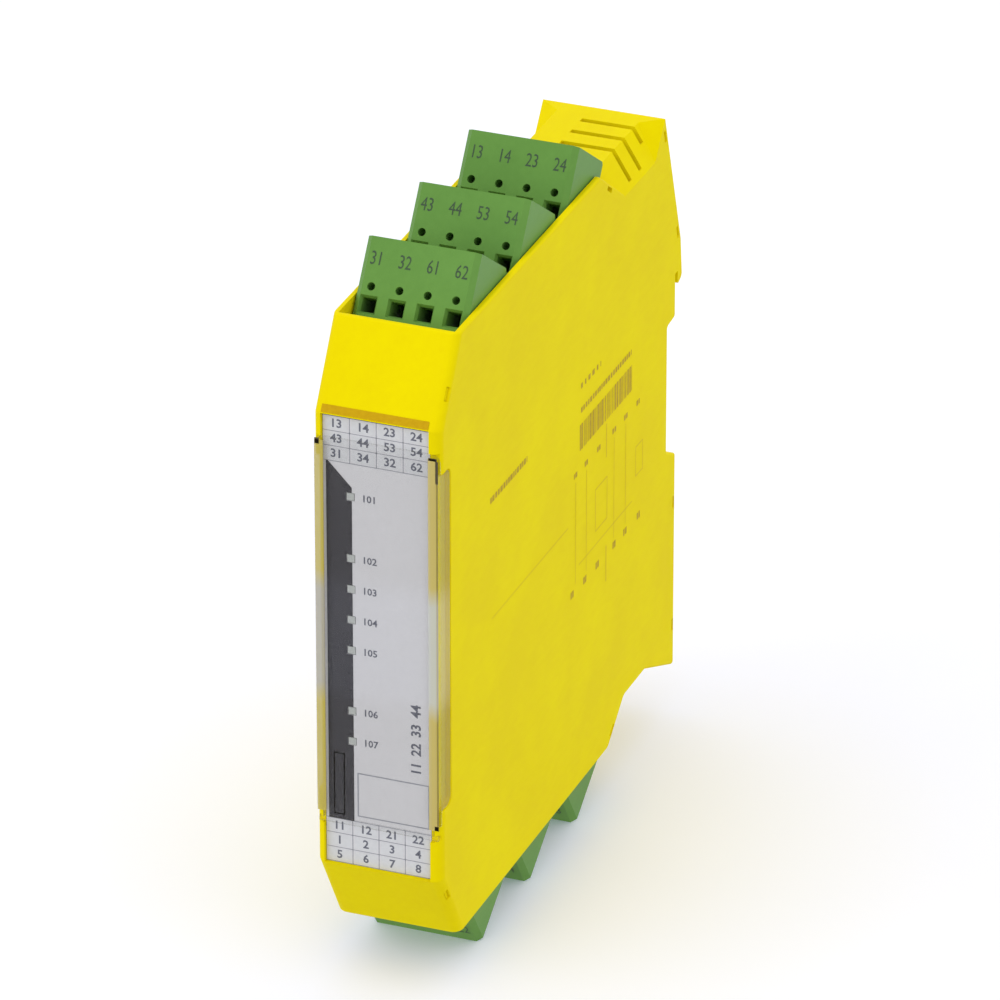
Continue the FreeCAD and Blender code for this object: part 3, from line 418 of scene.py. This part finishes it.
board = solder_mask("solder_mask")
relay_case = moulded("relay_case", rgb(232, 230, 220), rgb(224, 221, 208), gloss=0.3)
chip_black = moulded("chip_black", rgb(38, 38, 40), rgb(30, 30, 32), gloss=0.55)
sleeve = moulded("capacitor_sleeve", rgb(52, 56, 74), rgb(44, 46, 62), gloss=0.25)
ferrite = moulded("ferrite", rgb(64, 62, 62), rgb(52, 50, 50), gloss=0.6)
led_lens = moulded("led_lens", rgb(226, 228, 220), rgb(214, 216, 206), gloss=0.25)
print("finishes so far:", len(bpy.data.materials))

# %% [markdown]
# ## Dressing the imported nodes
#
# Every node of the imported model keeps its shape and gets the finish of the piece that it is. The
# finishes could be given node by node. A rule by name does it in one pass, so no node can be
# forgotten: a node that no rule fits stops the script.

# %% Give every node its finish
RULES = (
    ("housing_shell", yellow), ("side_cover", yellow), ("rail_latch", yellow),
    ("label_plate", label_grey), ("clear_cover", clear), ("light_guide", guide),
    ("latch_spring", steel), ("_springs", steel), ("_pins", tin), ("board_connector", tin),
    ("_plug_", green), ("_header_", green), ("_board", board), ("relay_", relay_case),
    ("controller_chips", chip_black), ("power_capacitors", sleeve),
    ("power_inductor", ferrite), ("status_leds", led_lens),
)


def finish_for(node):
    for part, material in RULES:
        if part in node:
            return material
    raise ValueError("no finish for " + node)


for node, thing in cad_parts.items():
    for place in thing.material_slots:
        place.material = finish_for(node)
print("dressed", len(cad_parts), "nodes")

# %% [markdown]
# ## Ink on a face
#
# Print is a film a few hundredths of a millimetre thick. It could be painted into the material, but
# then its edges would be as soft as the baked picture. Flat faces just off the surface stay sharp.
# A `Sheet` is a flat coordinate system on one face of the object, in millimetres, and everything
# printed on that face is laid out on it. Words are set with the built-in typeface, which is a curve,
# and are made a mesh before they are put in their place.

# %% A flat coordinate system for print
CAPITAL_SHARE = 0.7


class Sheet:
    """A face to print on: an origin, two directions across it, and the height of the ink."""

    def __init__(self, origin, across, up, lift=0.03):
        self.across = Vector(across).normalized()
        self.up = Vector(up).normalized()
        self.out = self.across.cross(self.up)
        self.origin = Vector(origin) + self.out * lift * MM

    def matrix(self, x, y, width=1.0, height=1.0):
        place = self.origin + (self.across * x + self.up * y) * MM
        turn = Matrix((self.across, self.up, self.out)).transposed().to_4x4()
        size = Matrix.Diagonal((width * MM, height * MM, MM, 1.0))
        return Matrix.Translation(place) @ turn @ size

    def field(self, ink, x0, y0, x1, y1):
        """A filled rectangle of ink. Its corners are handed back."""
        place = self.matrix((x0 + x1) / 2, (y0 + y1) / 2, x1 - x0, y1 - y0)
        grid = bmesh.ops.create_grid(ink, x_segments=1, y_segments=1, size=0.5, matrix=place)
        return grid["verts"]

    def outline(self, ink, x0, y0, x1, y1, line):
        """A rectangle drawn with lines."""
        self.field(ink, x0, y0, x1, y0 + line)
        self.field(ink, x0, y1 - line, x1, y1)
        self.field(ink, x0, y0 + line, x0 + line, y1 - line)
        self.field(ink, x1 - line, y0 + line, x1, y1 - line)

    def words(self, ink, text, x, y, height, turn=0.0, squeeze=1.0, bold=0.0):
        """Plain figures as tall as height, centred on a place."""
        curve = bpy.data.curves.new("figures", "FONT")
        curve.body = text
        curve.size = height / CAPITAL_SHARE
        curve.align_x = "CENTER"
        curve.align_y = "CENTER"
        curve.resolution_u = 2
        curve.offset = bold
        writer = bpy.data.objects.new("figures", curve)
        mesh = bpy.data.meshes.new_from_object(writer)
        place = self.matrix(x, y) @ Matrix.Rotation(math.radians(turn), 4, "Z")
        mesh.transform(place @ Matrix.Diagonal((squeeze, 1.0, 1.0, 1.0)))
        ink.from_mesh(mesh)
        bpy.data.objects.remove(writer)
        bpy.data.curves.remove(curve)
        bpy.data.meshes.remove(mesh)


def finished(name, build, body, material):
    """Turn a bmesh into a piece that rides on a body."""
    mesh = bpy.data.meshes.new(name)
    build.to_mesh(mesh)
    build.free()
    mesh.materials.append(material)
    made = bpy.data.objects.new(name, mesh)
    bpy.context.scene.collection.objects.link(made)
    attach(made, body)
    print("made", name, "with", len(mesh.polygons), "faces")
    return made


# %% [markdown]
# ## The layout of the label
#
# The label has a dark stripe that the indicator windows stand beside, a block of terminal numbers at
# the top and one at the bottom, and a box to write in. Its places could be typed as coordinates of
# the whole model. Setting them out from the corners of the label plate, in millimetres, keeps them
# right if the plate moves, and the windows are found from the light guide and the lamps.

# %% Lay out the label
label_low, label_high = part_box("label_plate")
guide_low, guide_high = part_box("light_guide")
lamps_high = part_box("status_leds")[1]
LABEL_W = (label_high[0] - label_low[0]) / MM
LABEL_H = (label_high[2] - label_low[2]) / MM
GRID_ROW = 2.75
GRID_TOP = LABEL_H - 0.45
GRID_LOW = 3 * GRID_ROW
COLUMN = LABEL_W / 4
WINDOW_PITCH = 5.7
WINDOW_ROWS = (0, 2, 3, 4, 5, 7, 8)
WINDOW_HALF = 0.75
LAMP_HALF = 0.8
label = Sheet(label_low, (1, 0, 0), (0, 0, 1))
window_x = ((guide_low[0] + guide_high[0]) / 2 - label_low[0]) / MM
window_top = (lamps_high[2] - label_low[2]) / MM - LAMP_HALF
window_heights = [window_top - row * WINDOW_PITCH for row in WINDOW_ROWS]
print("label %.1f x %.1f mm, windows at %.2f mm" % (LABEL_W, LABEL_H, window_x))

# %% [markdown]
# ## The dark stripe
#
# The stripe is one field of slate ink with a slanted top, and the windows of the light guide come
# through its right edge. The windows could be cut out of one large field. Building the stripe as a
# column, with short fields between the windows, needs no cutting. The slanted top is a field whose
# upper right corner is pulled to the left.

# %% Print the stripe round the windows
STRIPE_LEFT = 0.5
STRIPE_RIGHT = 5.05
SLANT_HIGH = 4.4
TIP_WIDE = 0.3
slate = bmesh.new()
stripe_top = GRID_TOP - 3 * GRID_ROW
shoulder = stripe_top - SLANT_HIGH
window_edge = window_x - WINDOW_HALF
label.field(slate, STRIPE_LEFT, GRID_LOW, window_edge, shoulder)
stops = [GRID_LOW]
for height in reversed(window_heights):
    stops += [height - WINDOW_HALF, height + WINDOW_HALF]
stops.append(shoulder)
for low, high in zip(stops[0::2], stops[1::2]):
    label.field(slate, window_edge, min(low, high), STRIPE_RIGHT, max(low, high))
tip = label.field(slate, STRIPE_LEFT, shoulder, STRIPE_RIGHT, stripe_top)
corner = max(tip, key=lambda vert: vert.co.x + vert.co.z)
corner.co.x -= (STRIPE_RIGHT - STRIPE_LEFT - TIP_WIDE) * MM
finished("label_stripe", slate, "housing", ink_slate)

# %% [markdown]
# ## Terminal numbers
#
# Each terminal has its number in a field of a small table, and the tables at the two ends are the
# same but for the numbers. They could be drawn apart. One loop draws both, with the fields, the
# lines and the figures each gathered in a bmesh of its own, because each is an ink of its own. The
# pale fields lie a little deeper than the figures on them.

# %% Print the tables of terminal numbers
TOP_ROWS = (("13", "14", "23", "24"), ("43", "44", "53", "54"), ("31", "34", "32", "62"))
LOW_ROWS = (("11", "12", "21", "22"), ("1", "2", "3", "4"), ("5", "6", "7", "8"))
FIELD_SIDE = 0.35
FIELD_END = 0.25
LINE_HALF = 0.07
LINE_MARGIN = 0.1
FIELD_DEEPER = 0.012
numbers = bmesh.new()
pale = bmesh.new()
lines = bmesh.new()
for rows, top in ((TOP_ROWS, GRID_TOP), (LOW_ROWS, GRID_LOW)):
    for line, cells in enumerate(rows):
        y = top - GRID_ROW * (line + 0.5)
        for place, text in enumerate(cells):
            x = COLUMN * (place + 0.5)
            label.words(numbers, text, x, y, 1.5, bold=0.05)
            label.field(pale, x - COLUMN / 2 + FIELD_SIDE, y - GRID_ROW / 2 + FIELD_END,
                        x + COLUMN / 2 - FIELD_SIDE, y + GRID_ROW / 2 - FIELD_END)
    for line in range(4):
        y = top - GRID_ROW * line
        label.field(lines, LINE_MARGIN, y - LINE_HALF, LABEL_W - LINE_MARGIN, y + LINE_HALF)
    for place in range(1, 4):
        x = COLUMN * place
        label.field(lines, x - LINE_HALF, top - 3 * GRID_ROW, x + LINE_HALF, top)
for vert in pale.verts:
    vert.co.y += FIELD_DEEPER * MM
finished("label_fields", pale, "housing", ink_pale)

# %% [markdown]
# ## The box to write in, and the figures on the label
#
# Below the windows the label has an empty box for a marker, and low on the stripe a small frame. A
# word stands beside each window and one is set upright at the right. Words could name what each lamp
# means. Plain figures stand for them here, so that the part is bare of any maker's text.

# %% Print the boxes and the figures
WRITE_ON = (5.65, 9.3, LABEL_W - 0.3, 17.6)
SMALL_FRAME = (1.4, GRID_LOW + 0.9, 3.4, GRID_LOW + 12.6)
BOX_LINE = 0.22
LEGEND_RIGHT = 3.3
UPRIGHT_LEFT = 2.6
UPRIGHT_LOW = 20.4
UPRIGHT_PITCH = 3.6
label.outline(lines, *WRITE_ON, BOX_LINE)
finished("label_lines", lines, "housing", ink_line)
for count, height in enumerate(window_heights):
    label.words(numbers, str(101 + count), window_x + LEGEND_RIGHT, height, 1.25, bold=0.03)
for count in range(4):
    label.words(numbers, str(count + 1) * 2, LABEL_W - UPRIGHT_LEFT,
                UPRIGHT_LOW + UPRIGHT_PITCH * count, 1.7, turn=90.0, bold=0.06)
finished("label_numbers", numbers, "housing", ink_dark)
plate = bmesh.new()
label.outline(plate, *SMALL_FRAME, BOX_LINE)
finished("label_plate_frame", plate, "housing", ink_line)

# %% [markdown]
# ## The lip above the label
#
# The band above the label turns in towards it. The turn is only a millimetre and a half tall, and it
# lies in its own shade, with a shadow in the gap under it. It could be left to the light alone, which
# is too soft to draw it. Two fields of deeper ink stand for that shade: a painted shade on the turn and
# a painted shadow in the gap. The band leans back, so the sheet that they are laid out on leans with it.

# %% Painted shade and shadow of the lip
BAND_BACK = 8.5
BAND_UP = 14.1
SHADE_LOW = 0.35
SHADE_HIGH = 1.75
GAP_HIGH = 0.42
band = Sheet((label_low[0], cad_box[0][1], label_high[2]), (1, 0, 0), (0, BAND_BACK, BAND_UP), lift=0.04)
# Painted shade on the turn of the band.
shade = bmesh.new()
band.field(shade, 0.0, SHADE_LOW, LABEL_W, SHADE_HIGH)
finished("lip_painted_shade", shade, "housing", ink_painted_shade_on_lip)
# Painted shadow in the gap between the lip and the label.
gap = bmesh.new()
label.field(gap, 0.0, LABEL_H - GAP_HIGH, LABEL_W, LABEL_H)
finished("lip_painted_shadow", gap, "housing", ink_painted_shadow)

# %% [markdown]
# ## Edges of the clear flap
#
# The films that carry the painted edge light, the painted dark rim and the painted corner shadows lie
# on the front of the flap and swing with it. They could be solid strips, but the real edges have no
# thickness that shows. Each film is one or more fields, set out from the flap's own corners. All of
# them start above the hinge, so that nothing reaches the housing when the flap is open.

# %% Films on the flap
flap_low, flap_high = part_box("clear_cover")
FLAP_W = (flap_high[0] - flap_low[0]) / MM
FLAP_H = (flap_high[2] - flap_low[2]) / MM
LABEL_AT = (label_low[0] - flap_low[0]) / MM
FILM_LOW = 2.2
FILM_HIGH = FLAP_H - 0.5
CATCH_LOW = FLAP_H - 5.0
CATCH_HIGH = FLAP_H - 0.9
# Painted light along the right and left edges, a painted dark rim at the right, and painted shadows at the
# corners.
FILMS = (
    ("flap_painted_light_right", painted_edge_light_bright, ((LABEL_AT + LABEL_W, FILM_LOW, FLAP_W - 0.6, FILM_HIGH),)),
    ("flap_painted_light_left", painted_edge_light_dim, ((0.25, FILM_LOW, LABEL_AT + 0.4, FILM_HIGH),)),
    ("flap_painted_rim_shade", painted_rim_shade, ((FLAP_W - 0.58, FILM_LOW, FLAP_W - 0.24, CATCH_LOW),)),
    # Painted shadows at the corners of the flap.
    ("flap_corner_shadows", ink_painted_shadow, ((FLAP_W - 0.68, CATCH_LOW, FLAP_W - 0.2, CATCH_HIGH),
                               (FLAP_W - 1.9, CATCH_HIGH, FLAP_W - 0.4, FLAP_H - 0.4),
                               (0.3, FLAP_H - 1.3, 1.1, FLAP_H - 0.2),
                               (FLAP_W - 1.0, FILM_LOW, FLAP_W - 0.3, FILM_LOW + 0.8))),
)
flap = Sheet(flap_low, (1, 0, 0), (0, 0, 1))
for name, finish, fields in FILMS:
    film = bmesh.new()
    for corners in fields:
        flap.field(film, *corners)
    finished(name, film, "cover", finish)

# %% [markdown]
# ## Numbers on the plugs
#
# Each pole has its terminal number printed near the top edge of the face. The face leans back, so
# the sheet gets the lean of the plug. The number could be printed on one plug and copied, but every
# plug has its own numbers. The bottom plugs are the top ones upside down, and their print reads the
# right way up from the front.

# %% Print the poles
LEAN = math.radians(34.0)
TONGUE_TIP = 23.5
TONGUE_BEHIND = 2.2
POLE_PITCH = 5.0
NUMBER_DOWN = 3.7
NUMBER_HIGH = 2.3
TOP_NUMBERS = (("31", "32", "61", "62"), ("43", "44", "53", "54"), ("13", "14", "23", "24"))
for side, sets in (("top", TOP_NUMBERS), ("bottom", LOW_ROWS)):
    for index, texts in enumerate(sets):
        node = "%s_plug_%d" % (side, index + 1)
        low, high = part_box(node)
        way = 1 if side == "top" else -1
        edge_y = low[1] / MM + TONGUE_TIP * math.sin(LEAN) - TONGUE_BEHIND * math.cos(LEAN)
        edge_z = (high[2] if side == "top" else low[2]) / MM
        face = Sheet((0, edge_y * MM, edge_z * MM), (1, 0, 0), (0, way * math.sin(LEAN), math.cos(LEAN)))
        ink = bmesh.new()
        for pole, text in enumerate(texts):
            face.words(ink, text, (pole - 1.5) * POLE_PITCH, -way * NUMBER_DOWN, NUMBER_HIGH, squeeze=0.72)
        finished(node + "_numbers", ink, node, ink_number)

# %% [markdown]
# ## Marks on the side
#
# The right side carries a faint brown print: rows of small marks, a strip of upright bars, and the
# lines of a wiring plan. It could be set in real words. The marks here are plain bars and dashes
# with no meaning. A laser browns the plastic unevenly, so each run of marks is broken up with seeded
# random gaps.

# %% Dashes and bars of uneven length
side_low, side_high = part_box("side_cover")
side_sheet = Sheet((side_high[0], side_low[1], side_low[2]), (0, 1, 0), (0, 0, 1))
dice = random.Random(7)


def dashes(ink, x0, x1, y, height, longest, gap):
    """A row of short marks of uneven length, as a line of small print looks from a distance."""
    x = x0
    while x < x1:
        run = dice.uniform(longest * 0.45, longest)
        side_sheet.field(ink, x, y - height / 2, min(x + run, x1), y + height / 2)
        x += run + gap * dice.uniform(0.7, 1.3)


def bars(ink, x0, x1, y0, y1):
    """Upright bars of uneven width."""
    x = x0
    while x < x1:
        wide = dice.choice((0.25, 0.25, 0.45, 0.7))
        side_sheet.field(ink, x, y0, min(x + wide, x1), y1)
        x += wide + dice.choice((0.25, 0.3, 0.5))


print("side sheet is %.1f mm long" % ((side_high[1] - side_low[1]) / MM))

# %% [markdown]
# ## The print on the side
#
# Places on the side are measured from its lower front corner, along the side and then up. The strip
# of bars and the rows of marks lie on one film, since they share one ink. They could be one field
# each, darker than the plastic, but from near by a print is made of separate marks.

# %% Print the bars and the rows of marks
BAR_STRIP = (64.3, 89.7, 64.9, 69.8)
MARK_ROWS = (
    dict(x0=64.8, x1=89.3, y=72.4, height=1.0, longest=1.1, gap=0.35),
    dict(x0=64.8, x1=74.4, y=77.0, height=1.0, longest=1.2, gap=1.3),
    dict(x0=22.3, x1=39.4, y=75.1, height=1.1, longest=1.1, gap=0.3),
)
UPPER_TERMINALS = (62.4, 67.6, 73.6, 81.0, 86.7, 92.8)
LOWER_TERMINALS = (60.9, 67.0, 73.0, 81.3, 86.6, 93.3)
laser = bmesh.new()
bars(laser, *BAR_STRIP)
for row in MARK_ROWS:
    dashes(laser, **row)
for x in UPPER_TERMINALS:
    dashes(laser, x - 0.9, x + 0.9, y=61.2, height=1.0, longest=0.9, gap=0.25)
for x in LOWER_TERMINALS:
    dashes(laser, x - 0.8, x + 0.8, y=39.0, height=1.3, longest=0.8, gap=0.2)
finished("side_print", laser, "housing", ink_laser)

# %% [markdown]
# ## The wiring plan
#
# Under the bars stands a plan of thin lines between two rows of terminals. It could share the film of
# the bars, but the laser runs over these lines only once, so they are a fainter ink on a film of
# their own.

# %% Print the lines of the wiring plan
PLAN_BOXES = ((71.9, 45.8, 77.7, 54.0), (91.6, 47.2, 95.2, 53.0))
PLAN_BOX_LINE = 0.18
FEED_AT = 77.1
FEED_WIDE = 0.3
FEED_HEIGHTS = ((57.7, 64.2), (33.7, 40.7))
UPRIGHTS = (62.4, 67.6, 81.0, 86.7)
UPRIGHT_HALF = 0.08
UPRIGHT_HEIGHTS = (40.4, 59.8)
RAILS = ((64.0, 90.0, 43.2), (23.0, 58.7, 52.7))
RAIL_HIGH = 0.15
plan = bmesh.new()
for corners in PLAN_BOXES:
    side_sheet.outline(plan, *corners, PLAN_BOX_LINE)
for y0, y1 in FEED_HEIGHTS:
    side_sheet.field(plan, FEED_AT, y0, FEED_AT + FEED_WIDE, y1)
for x in UPRIGHTS:
    side_sheet.field(plan, x - UPRIGHT_HALF, UPRIGHT_HEIGHTS[0], x + UPRIGHT_HALF, UPRIGHT_HEIGHTS[1])
for x0, x1, y in RAILS:
    side_sheet.field(plan, x0, y, x1, y + RAIL_HIGH)
finished("side_plan", plan, "housing", ink_faint)

# %% [markdown]
# ## The spring of the latch
#
# A coil spring sits between a pocket in the foot and the shoulder of the latch. It gets shorter as
# the latch is pulled down. The imported spring is a rigid solid, so a copy of its mesh stands for it.
# It could be drawn again as a curve, but a copy has its shape.
# The imported mesh is loose triangles, so the copy is merged first.

# %% Stand a copy in for the spring
MERGE_WITHIN = 0.001
packed_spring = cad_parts["latch_spring"]
spring_low, spring_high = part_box("latch_spring")
turns = bmesh.new()
turns.from_mesh(packed_spring.data)
turns.transform(packed_spring.matrix_world)
bmesh.ops.remove_doubles(turns, verts=turns.verts, dist=MERGE_WITHIN * MM)
coil = finished("latch_coil", turns, "housing", steel)
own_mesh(coil)
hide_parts("latch_spring")
print("spring from %.1f to %.1f mm" % (spring_low[2] / MM, spring_high[2] / MM))

# %% [markdown]
# ## The table
#
# The module stands on its lower plugs on a white table. Yellow light from the housing falls on the
# table and would tint it. A dark stage could hide that, but a product stands on white, so the paper
# glows a little in blue. Light that bounces off the table is kept from the module, because the sky
# already fills it from below.

# %% Floor
FLOOR_HALF = 4.0
floor_z = cad_box[0][2]
table = bmesh.new()
bmesh.ops.create_grid(table, x_segments=1, y_segments=1, size=FLOOR_HALF,
                      matrix=Matrix.Translation((0, 0, floor_z)))
floor_mesh = bpy.data.meshes.new("floor")
table.to_mesh(floor_mesh)
table.free()
floor = bpy.data.objects.new("floor", floor_mesh)
bpy.context.scene.collection.objects.link(floor)
paper = Finish("paper")
paper.set(Base_Color=paper.mix(paper.noise(0.02, 2.0), rgb(246, 247, 250), rgb(250, 250, 252)))
paper.set(Roughness=0.9, Emission_Color=rgb(164, 170, 255), Emission_Strength=0.11)
floor_mesh.materials.append(paper.material)
floor.visible_diffuse = False
print("floor at %.1f mm" % (floor_z / MM))

# %% [markdown]
# ## The light
#
# A large panel in front, to the left and above, lights the front and the plugs. A weaker one on the
# right lifts the side. A sky that is nearly even could do alone, but it leaves the faces all alike.
# Together they give the bright front and the slightly deeper side. Below the horizon the sky is
# weaker, which keeps the undersides of the plugs dark.

# %% Panels and sky
PANELS = (
    ("front_panel", (-0.6, -1.0, 0.55), 0.9, 2.2),
    ("side_panel", (1.1, -0.35, 0.12), 0.7, 0.5),
)
PANEL_AIM = (0, -0.05, 0)
SKY_LOW, SKY_LOW_STRENGTH = -0.25, 0.67
SKY_HIGH, SKY_HIGH_STRENGTH = 0.05, 1.05
SKY_COLOUR = (0.98, 0.985, 1.0, 1.0)


def panel(name, place, wide, power):
    """A square softbox that faces the object."""
    lamp = bpy.data.lights.new(name, "AREA")
    lamp.shape = "RECTANGLE"
    lamp.size = wide
    lamp.size_y = wide
    lamp.energy = power
    thing = bpy.data.objects.new(name, lamp)
    thing.location = place
    thing.rotation_euler = (Vector(PANEL_AIM) - Vector(place)).to_track_quat("-Z", "Y").to_euler()
    bpy.context.scene.collection.objects.link(thing)


for row in PANELS:
    panel(*row)
sky = bpy.data.worlds.new("sky")
bpy.context.scene.world = sky
sky.use_nodes = True
shine = sky.node_tree.nodes["Background"]
over = sky.node_tree.nodes.new("ShaderNodeTexCoord")
split = sky.node_tree.nodes.new("ShaderNodeSeparateXYZ")
fade = sky.node_tree.nodes.new("ShaderNodeMapRange")
fade.inputs["From Min"].default_value = SKY_LOW
fade.inputs["From Max"].default_value = SKY_HIGH
fade.inputs["To Min"].default_value = SKY_LOW_STRENGTH
fade.inputs["To Max"].default_value = SKY_HIGH_STRENGTH
shine.inputs["Color"].default_value = SKY_COLOUR
sky.node_tree.links.new(over.outputs["Generated"], split.inputs[0])
sky.node_tree.links.new(split.outputs["Z"], fade.inputs["Value"])
sky.node_tree.links.new(fade.outputs[0], shine.inputs["Strength"])
print("lit with", len(PANELS), "panels and a sky")
